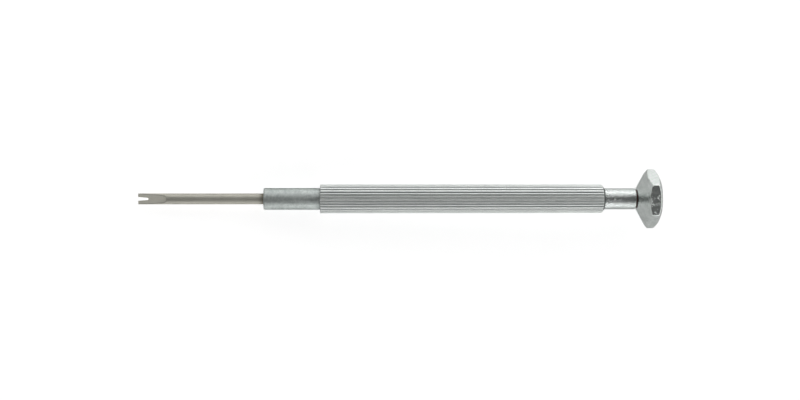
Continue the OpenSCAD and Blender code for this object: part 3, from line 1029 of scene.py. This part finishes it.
# %% Spin the finger pad
pad_outline = [(x_pad, 0, 0), (x_pad, pad_r, 0.05), (dish_x(pad_r) - 0.03, pad_r - 0.01, 0.02)]
pad_outline += [(dish_x(pad_r * k / 16), pad_r * k / 16, 0) for k in range(15, -1, -1)]
pad = spun("finger_dish_pad", pad_outline)
finish_piece(pad, "swivel", ["finger_pad"], bright_chrome)

# %% [markdown]
# ## The bearing's balls
# The balls are alike and evenly spaced, so they are instances on points round the axis. They are
# sealed inside the head, and they ride on the ring of balls so that they roll with it.

# %% Build and grow the ball set
BALL_COUNT = sum(1 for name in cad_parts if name.startswith("bearing_ball_"))
ball_low, ball_high = span(f"bearing_ball_{BALL_COUNT}")
ball_centre = (ball_low + ball_high) / 2
BALL_R = (ball_high.x - ball_low.x) / 2


def build_ball_tree():
    tree, given, put = geometry_tree("ball_set", {
        "Balls": 7, "Pitch radius": 1.75, "Ball radius": 0.4, "Station": 56.5})
    points = node(tree, "GeometryNodePoints", {"Count": given.outputs["Balls"]})
    step = calc(tree, "DIVIDE", 2 * math.pi, given.outputs["Balls"])
    turn = calc(tree, "MULTIPLY", node(tree, "GeometryNodeInputIndex").outputs[0], step)
    place = node(tree, "ShaderNodeCombineXYZ", {
        "X": given.outputs["Station"],
        "Y": calc(tree, "MULTIPLY", calc(tree, "SINE", turn), given.outputs["Pitch radius"]),
        "Z": calc(tree, "MULTIPLY", calc(tree, "COSINE", turn), given.outputs["Pitch radius"])})
    spread = node(tree, "GeometryNodeSetPosition", {
        "Geometry": points.outputs[0], "Position": place.outputs[0]})
    ball = node(tree, "GeometryNodeMeshUVSphere", {
        "Segments": 32, "Rings": 16, "Radius": given.outputs["Ball radius"]})
    balls = node(tree, "GeometryNodeInstanceOnPoints", {
        "Points": spread.outputs[0], "Instance": ball.outputs["Mesh"]})
    end_tree(tree, put, balls.outputs[0], bearing_steel)
    return tree


ball_set = grown("bearing_ball_set", build_ball_tree(), {
    "Balls": BALL_COUNT, "Pitch radius": Vector(ball_centre.yz).length,
    "Ball radius": BALL_R, "Station": ball_centre.x})
finish_piece(ball_set, "ball_ring", [f"bearing_ball_{i + 1}" for i in range(BALL_COUNT)],
             bearing_steel)

# %% [markdown]
# ## Pieces that keep their own shape
# The pin, the snap ring, the two bearing rings and the cage are closed in by other pieces, and their
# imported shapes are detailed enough. They stay as they came and only take a finish.

# %% Paint the carried-over pieces
CARRIED_OVER = {"pivot_pin": bearing_steel, "snap_ring": screw_steel,
                "bearing_inner_ring": bearing_steel, "bearing_outer_ring": bearing_steel,
                "bearing_cage": cage_brass}
for name, material in CARRIED_OVER.items():
    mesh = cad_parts[name].data
    mesh.materials.clear()
    mesh.materials.append(material)
print("kept as they came:", ", ".join(sorted(CARRIED_OVER)))

# %% [markdown]
# ## Floor
# The tool lies on a pale table. It touches it in two places, on the edge of one side of the head
# and on the ferrule's front edge, and the ferrule is the thinner, so the table slopes a little
# against the tool's axis.
#
# A white table shows white in polished metal too, and the metal's edges would be lost against it.
# So the floor glows more for the camera than in reflections. A patch beyond the head glows in
# reflections only, as a white card laid there would, and lights the head's far facet.

# %% Lay the floor
x_head_touch = x_head + (head_flat - NOSE_R) / CONE_RISE
x_ferrule_touch = x_ferrule + 0.25
floor_slope = (head_flat - ferrule_r) / (x_head_touch - x_ferrule_touch)
floor_low = -head_flat + floor_slope * x_head_touch
FLOOR_HALF = 1.5

floor_mesh = bpy.data.meshes.new("floor")
floor_mesh.from_pydata([(x, y, floor_low * MM - floor_slope * x)
                        for x, y in ((-FLOOR_HALF, -FLOOR_HALF), (FLOOR_HALF, -FLOOR_HALF),
                                     (FLOOR_HALF, FLOOR_HALF), (-FLOOR_HALF, FLOOR_HALF))],
                       [], [(0, 1, 2, 3)])
floor = bpy.data.objects.new("floor", floor_mesh)
scene.collection.objects.link(floor)
floor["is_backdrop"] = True
print("floor slope:", round(math.degrees(math.atan(floor_slope)), 2), "degrees")

# %% Paint the floor
FLOOR_GLOW, FLOOR_LIFT = 0.50, 0.22
BOUNCE = 0.5
BOUNCE_FROM, BOUNCE_FULL = (44 * MM, 11 * MM), (52 * MM, 17 * MM)

floor_paint = bpy.data.materials.new("floor_paint")
floor_paint.use_nodes = True
tree = floor_paint.node_tree
paint = tree.nodes["Principled BSDF"]
paint.inputs["Base Color"].default_value = (0.80, 0.80, 0.80, 1)
paint.inputs["Roughness"].default_value = 0.9
paint.inputs["Emission Color"].default_value = (1, 1, 1, 1)
seen = tree.nodes.new("ShaderNodeLightPath").outputs["Is Camera Ray"]
glow = math_node(tree, "MULTIPLY_ADD", seen, FLOOR_GLOW, FLOOR_LIFT)
spot = tree.nodes.new("ShaderNodeSeparateXYZ")
feed(tree, spot.inputs[0], tree.nodes.new("ShaderNodeTexCoord").outputs["Object"])
bounce = remap(tree, spot.outputs["Y"], BOUNCE_FROM[1], BOUNCE_FULL[1], 0.0, BOUNCE)
beside_head = remap(tree, spot.outputs["X"], BOUNCE_FROM[0], BOUNCE_FULL[0])
bounce = math_node(tree, "MULTIPLY", bounce, beside_head)
unseen = math_node(tree, "SUBTRACT", 1.0, seen)
glow = math_node(tree, "MULTIPLY_ADD", bounce, unseen, glow)
feed(tree, paint.inputs["Emission Strength"], glow)
floor_mesh.materials.append(floor_paint)
print("floor glows", FLOOR_LIFT + FLOOR_GLOW, "for the camera and", FLOOR_LIFT, "in reflections")

# %% [markdown]
# ## Light
# Polished metal shows its surroundings. A white tent all round gives it broad bright bands, and a
# brighter strip at the horizon gives the light lines low on its sides. A darker gap overhead, along
# the tool, gives the dark middle band that makes it read as metal. One weak soft light makes the far
# side a little brighter. The camera sees an even backdrop in place of the tent.

# %% Light the scene with a tent
TENT_WHITE = 0.98
TENT_LEAN = (0.8, 0.08, 0.0)
STRIP_WHITE, STRIP_HALF = 2.7, 0.26
BACKDROP = 0.93
GAP_STRETCH = (0.35, 1.0, 1.0)
GAP_GREY = 0.14
GAP_FROM, GAP_TO = math.cos(math.radians(67)), math.cos(math.radians(31))

world = bpy.data.worlds.new("tent")
scene.world = world
world.use_nodes = True
tree = world.node_tree
direction = tree.nodes.new("ShaderNodeTexCoord").outputs["Generated"]
direction = vector_node(tree, "NORMALIZE", direction)
squeezed = vector_node(tree, "NORMALIZE", vector_node(tree, "MULTIPLY", direction, GAP_STRETCH))
upness = vector_node(tree, "DOT_PRODUCT", squeezed, (0.0, 0.0, 1.0))
wall = math_node(tree, "ADD", vector_node(tree, "DOT_PRODUCT", direction, TENT_LEAN), TENT_WHITE)
strip = remap(tree, math_node(tree, "ABSOLUTE", upness), 0.0, STRIP_HALF, STRIP_WHITE, 0.0)
wall = math_node(tree, "ADD", wall, strip)
opening = remap(tree, upness, GAP_FROM, GAP_TO, wall, GAP_GREY)
background = tree.nodes["Background"]
background.inputs["Color"].default_value = (1.0, 1.0, 1.0, 1.0)
seen = tree.nodes.new("ShaderNodeLightPath").outputs["Is Camera Ray"]
to_backdrop = math_node(tree, "SUBTRACT", BACKDROP, opening)
shown = math_node(tree, "MULTIPLY_ADD", to_backdrop, seen, opening)
feed(tree, background.inputs["Strength"], shown)
scene.view_settings.view_transform = "Standard"
print("tent strength", TENT_WHITE, "gap", GAP_GREY)

# %% Add the soft key light
KEY_PLACE = Vector((0.02, 0.17, 0.12))
KEY_WATTS = 0.018

key_data = bpy.data.lights.new("soft_key", "AREA")
key_data.shape = "RECTANGLE"
key_data.size, key_data.size_y = 0.40, 0.12
key_data.energy = KEY_WATTS
key = bpy.data.objects.new("soft_key", key_data)
scene.collection.objects.link(key)
key.location = KEY_PLACE
key.rotation_euler = (-KEY_PLACE).to_track_quat("-Z", "Y").to_euler()
print("key light:", KEY_WATTS, "W")

# %% [markdown]
# ## Measure the size
# The dressed model's box is set against the imported one's box, and the growth along each axis is
# printed. The dressed model has to stay inside the imported one's box.

# %% Print how much the box grew
new_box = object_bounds()
growth = zip(cad_box[1] - cad_box[0], new_box[1] - new_box[0])
print("grew by mm:", [round((b - a) / MM, 3) for a, b in growth])
